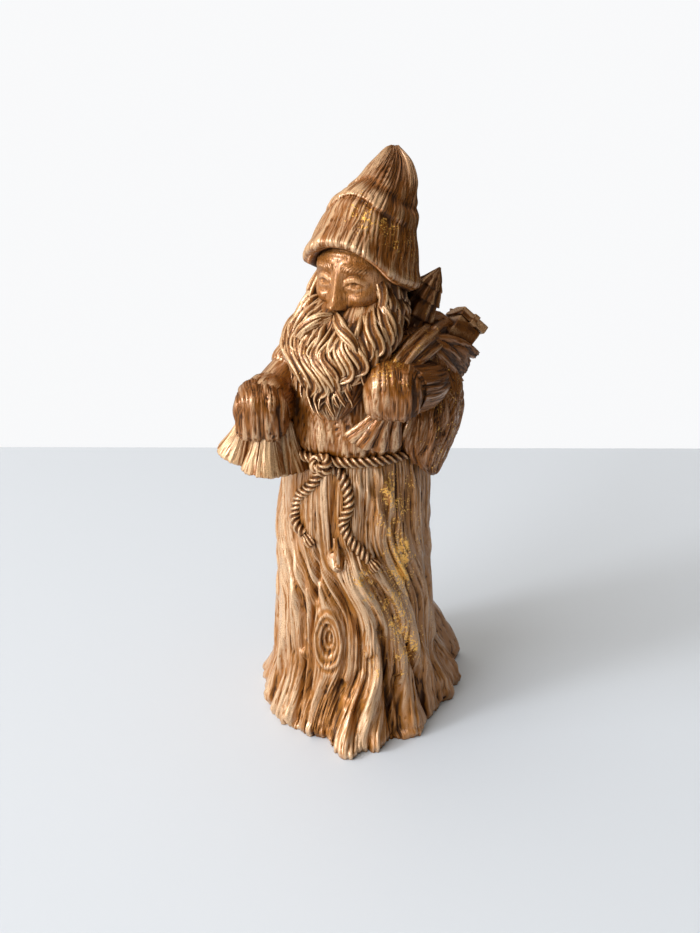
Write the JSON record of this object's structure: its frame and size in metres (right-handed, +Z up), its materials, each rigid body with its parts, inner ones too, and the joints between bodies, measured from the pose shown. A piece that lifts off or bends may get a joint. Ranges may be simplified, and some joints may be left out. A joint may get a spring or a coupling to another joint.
{
  "type": "resin santa figure",
  "caption": "Cast resin statuette of a robed, bearded old man in a pointed hat, with bells and a sack, standing on root-like folds of its robe.",
  "frame": {"origin": "on the flat underside, below the middle of the robe", "axes": "+Z up to the tip of the hat; the figure faces -Y and its left hand is on the +X side"},
  "size_m": [0.1066, 0.1129, 0.2776],
  "materials": {
    "resin": "glossy bronze-brown lacquer with a metallic shimmer, dark recesses and worn gold leaf"
  },
  "bodies": {
    "root": {"santa_figure": "resin"}
  },
  "joints": []
}
